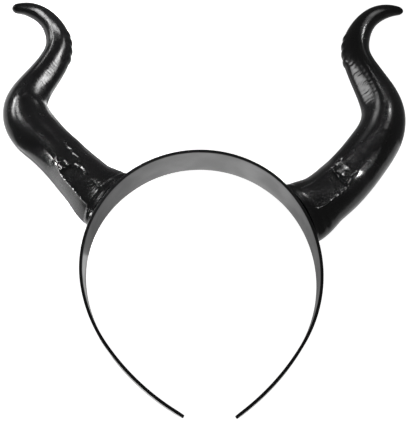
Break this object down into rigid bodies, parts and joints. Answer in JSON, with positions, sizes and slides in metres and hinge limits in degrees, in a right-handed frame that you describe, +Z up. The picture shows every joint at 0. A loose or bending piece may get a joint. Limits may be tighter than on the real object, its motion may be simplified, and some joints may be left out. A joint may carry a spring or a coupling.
{
  "type": "devil horns headband",
  "caption": "Black plastic headband with two long, curved, glossy devil horns in soft hollow vinyl.",
  "frame": {"origin": "on the surface it lies on, under the middle of the whole piece", "axes": "+Z up from the surface it lies on its back on; +Y from the leg tips towards the horn tips; +X towards horn_right"},
  "size_m": [0.2412, 0.2508, 0.026],
  "materials": {
    "hoop_plastic": "satin black",
    "horn_vinyl": "gloss black soft vinyl"
  },
  "bodies": {
    "root": {"headband": "hoop_plastic", "horn_left": "horn_vinyl", "horn_right": "horn_vinyl"}
  },
  "joints": []
}
